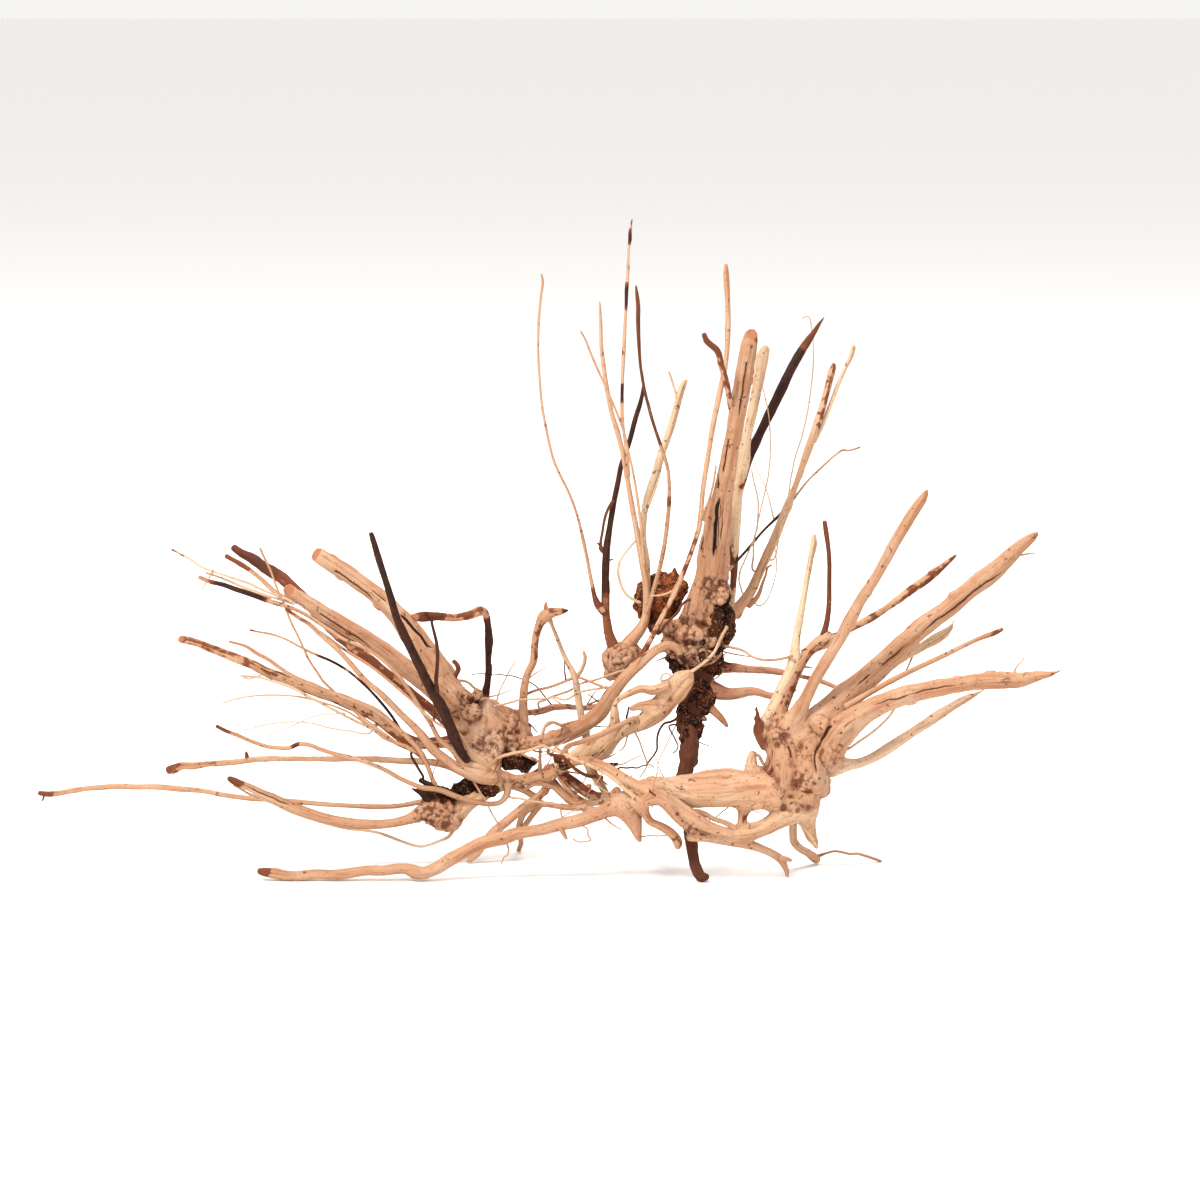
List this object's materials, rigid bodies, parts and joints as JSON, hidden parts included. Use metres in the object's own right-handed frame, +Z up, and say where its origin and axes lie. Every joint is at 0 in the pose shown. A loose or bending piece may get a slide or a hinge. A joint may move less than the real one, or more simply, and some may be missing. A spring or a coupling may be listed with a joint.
{
  "type": "dry root",
  "caption": "Dry tangled wooden rootstock: knotty crowns joined by long bare roots, with stiff stems fanning up and out. It rests on its low root tips.",
  "frame": {"origin": "the middle of the foot of the box, on the surface that the root tips rest on", "axes": "+X along the spread of the roots, to the right in the picture; +Y away from the camera; +Z up"},
  "size_m": [0.6992, 0.2518, 0.4438],
  "materials": {
    "dry_wood": "bare dry wood, matt, peach tan with dark bark left in patches"
  },
  "bodies": {
    "root": {"root": "dry_wood"}
  },
  "joints": []
}
